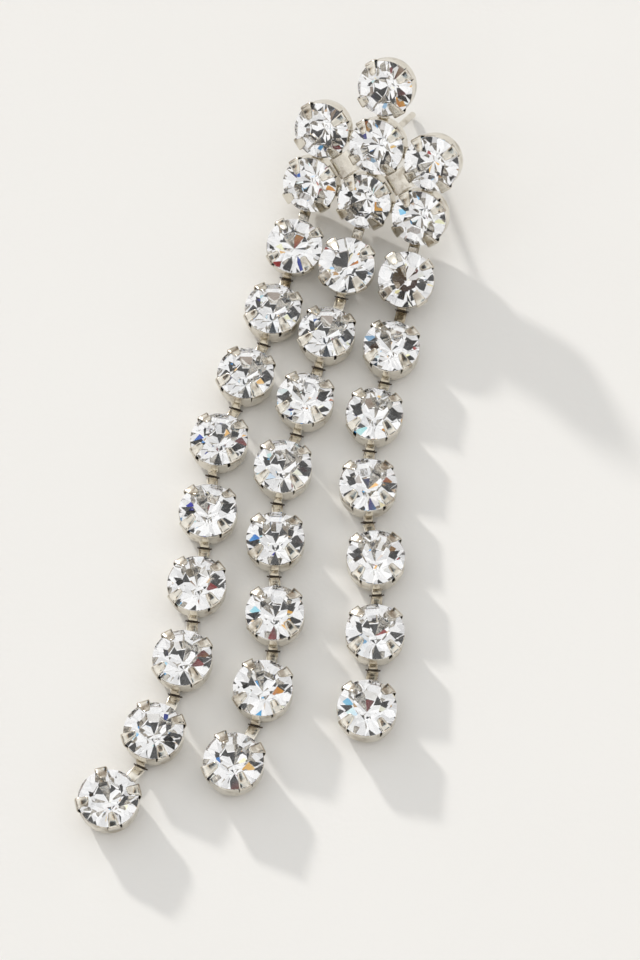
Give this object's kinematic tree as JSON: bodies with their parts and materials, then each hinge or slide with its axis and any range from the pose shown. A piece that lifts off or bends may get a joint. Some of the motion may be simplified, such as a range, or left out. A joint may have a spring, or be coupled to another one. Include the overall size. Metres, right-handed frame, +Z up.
{
  "type": "chandelier earring",
  "caption": "Chandelier earring of round crystals in prong cups: a soldered cluster on an ear post, with three loose strands hanging from it, lying face up.",
  "frame": {"origin": "under the middle of the earring's box, on the surface that it lies on", "axes": "+Y up the strands towards the cluster and the post, +X to the wearer's-view right across the strands, +Z up from the surface, the way the stones face"},
  "size_m": [0.0414, 0.0898, 0.018],
  "materials": {
    "plated_metal": "bright rhodium-coloured plating over brass, lightly worn by forming marks",
    "crystal": "clear cut glass with a silvered, pointed back"
  },
  "bodies": {
    "root": {"cluster_setting": "plated_metal", "strand_left": "plated_metal", "strand_middle": "plated_metal", "strand_right": "plated_metal", "ear_post": "plated_metal", "stone_top": "crystal", "stone_left_01": "crystal", "stone_left_02": "crystal", "stone_left_03": "crystal", "stone_left_04": "crystal", "stone_left_05": "crystal", "stone_left_06": "crystal", "stone_left_07": "crystal", "stone_left_08": "crystal", "stone_left_09": "crystal", "stone_left_10": "crystal", "stone_left_11": "crystal", "stone_middle_01": "crystal", "stone_middle_02": "crystal", "stone_middle_03": "crystal", "stone_middle_04": "crystal", "stone_middle_05": "crystal", "stone_middle_06": "crystal", "stone_middle_07": "crystal", "stone_middle_08": "crystal", "stone_middle_09": "crystal", "stone_middle_10": "crystal", "stone_right_01": "crystal", "stone_right_02": "crystal", "stone_right_03": "crystal", "stone_right_04": "crystal", "stone_right_05": "crystal", "stone_right_06": "crystal", "stone_right_07": "crystal", "stone_right_08": "crystal", "stone_right_09": "crystal"}
  },
  "joints": []
}
